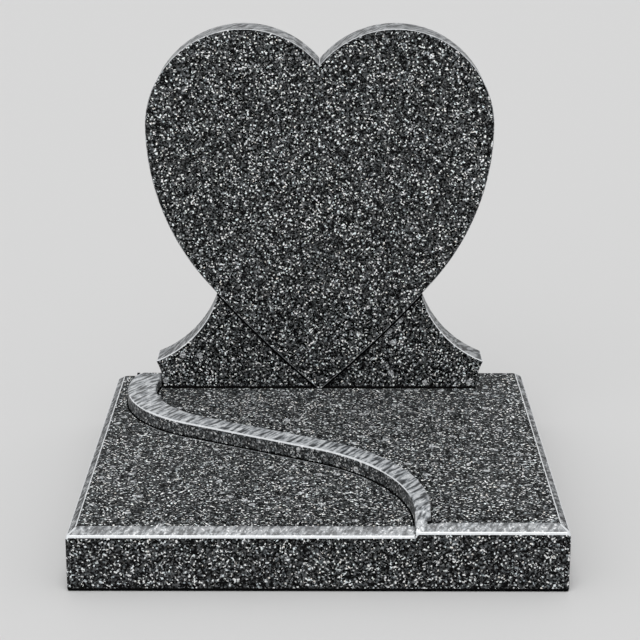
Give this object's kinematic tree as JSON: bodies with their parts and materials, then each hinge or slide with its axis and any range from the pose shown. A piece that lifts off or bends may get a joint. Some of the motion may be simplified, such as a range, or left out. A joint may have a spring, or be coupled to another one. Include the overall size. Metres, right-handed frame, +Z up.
{
  "type": "headstone",
  "caption": "Heart-shaped granite headstone held between curved wings, on a square bevelled base crossed by a raised S-shaped strip.",
  "frame": {"origin": "on the ground, under the middle of the base", "axes": "+Z up, the heart's front faces -Y, +X to the right as seen from the front"},
  "size_m": [0.61, 0.61, 0.611],
  "materials": {
    "base_granite": "dark speckled granite, polished fields with honed bevels and strip",
    "heart_granite": "polished dark speckled granite with a honed edge",
    "wing_granite": "polished dark speckled granite with a honed edge"
  },
  "bodies": {
    "root": {"base": "base_granite", "heart_stone": "heart_granite", "left_wing": "wing_granite", "right_wing": "wing_granite"}
  },
  "joints": []
}
